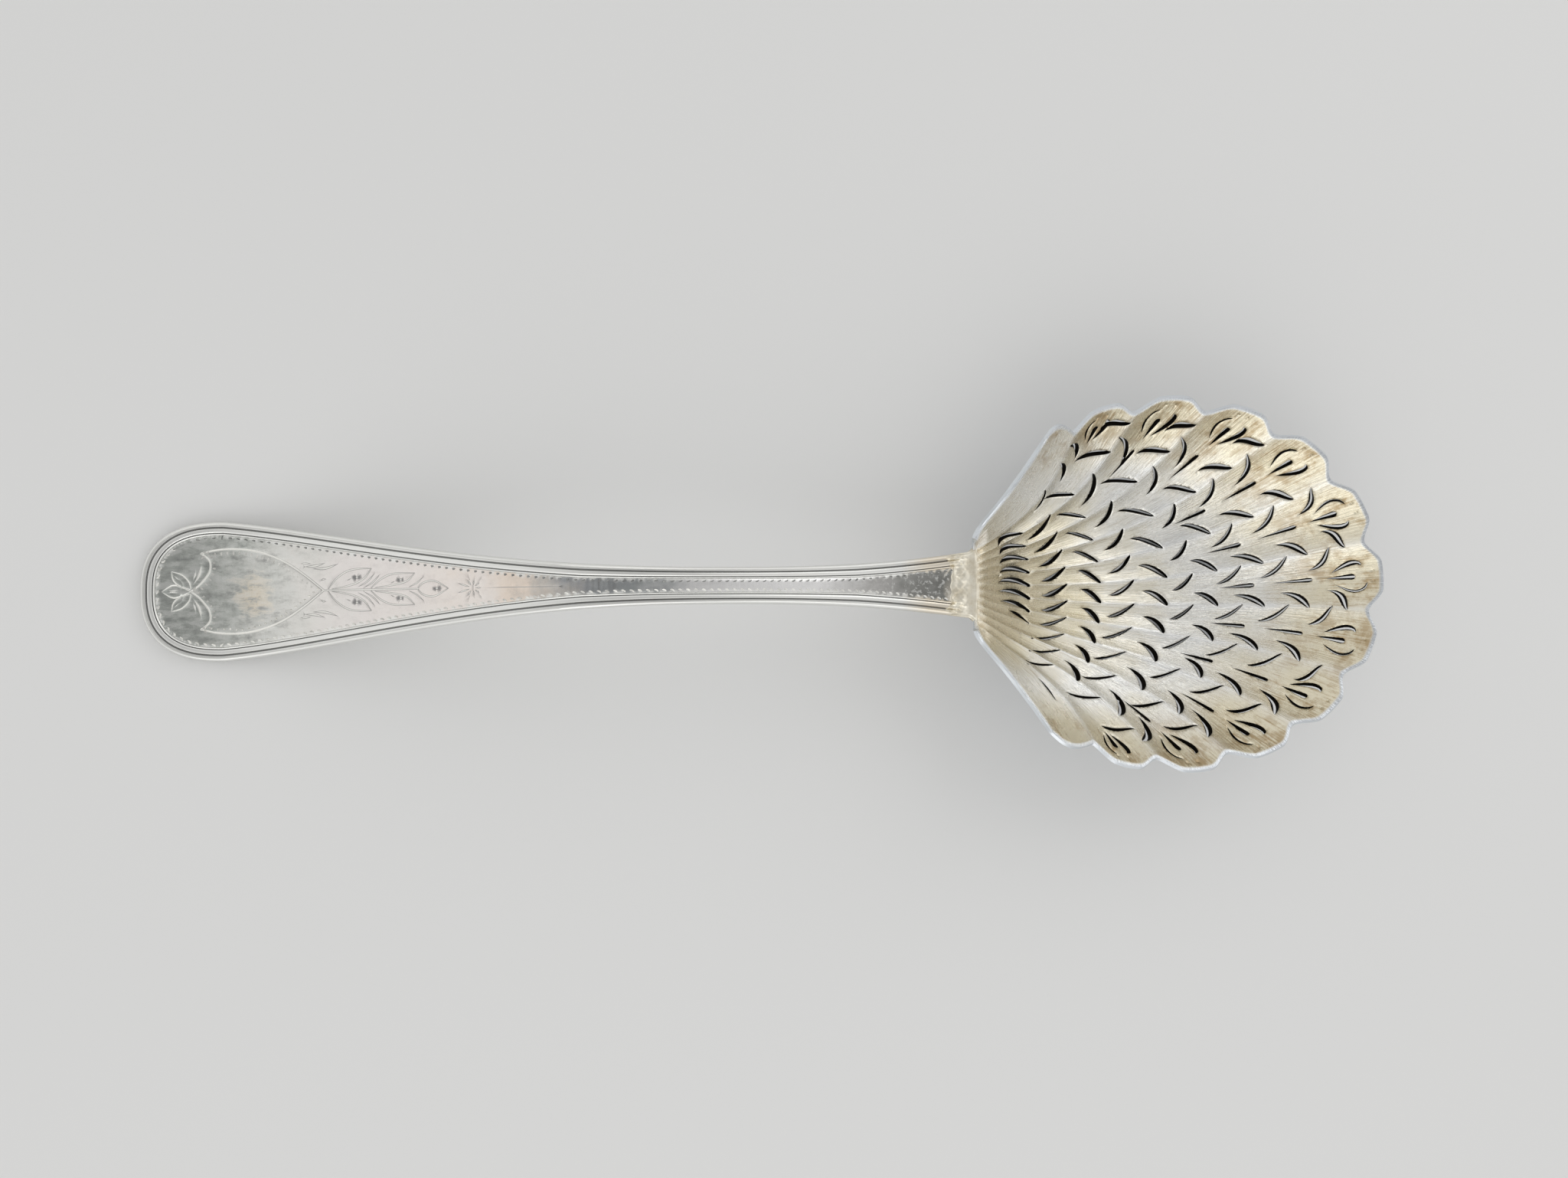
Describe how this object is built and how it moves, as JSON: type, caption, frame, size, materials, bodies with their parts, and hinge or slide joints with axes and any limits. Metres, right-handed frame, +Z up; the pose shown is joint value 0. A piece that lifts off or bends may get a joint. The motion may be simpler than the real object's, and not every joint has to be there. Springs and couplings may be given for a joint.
{
  "type": "sifter spoon",
  "caption": "Table sifter spoon with an arched, reed-bordered handle soldered to a fluted scallop-shell bowl pierced all over with slots for sifting sugar or lifting fruit.",
  "frame": {"origin": "on the surface that the spoon rests on, under the middle of its length and width", "axes": "+X runs from the handle's tip to the bowl's far rim, +Y across the spoon, +Z up, with the bowl opening upwards"},
  "size_m": [0.21, 0.0656, 0.0242],
  "materials": {
    "handle_silver": "worn polished silver with engraving",
    "bowl_gilt": "pale, worn gilding on polished silver",
    "solder": "rough silver solder"
  },
  "bodies": {
    "root": {"handle": "handle_silver", "shell_bowl": "bowl_gilt", "neck_solder": "solder", "heel_solder": "solder"}
  },
  "joints": []
}
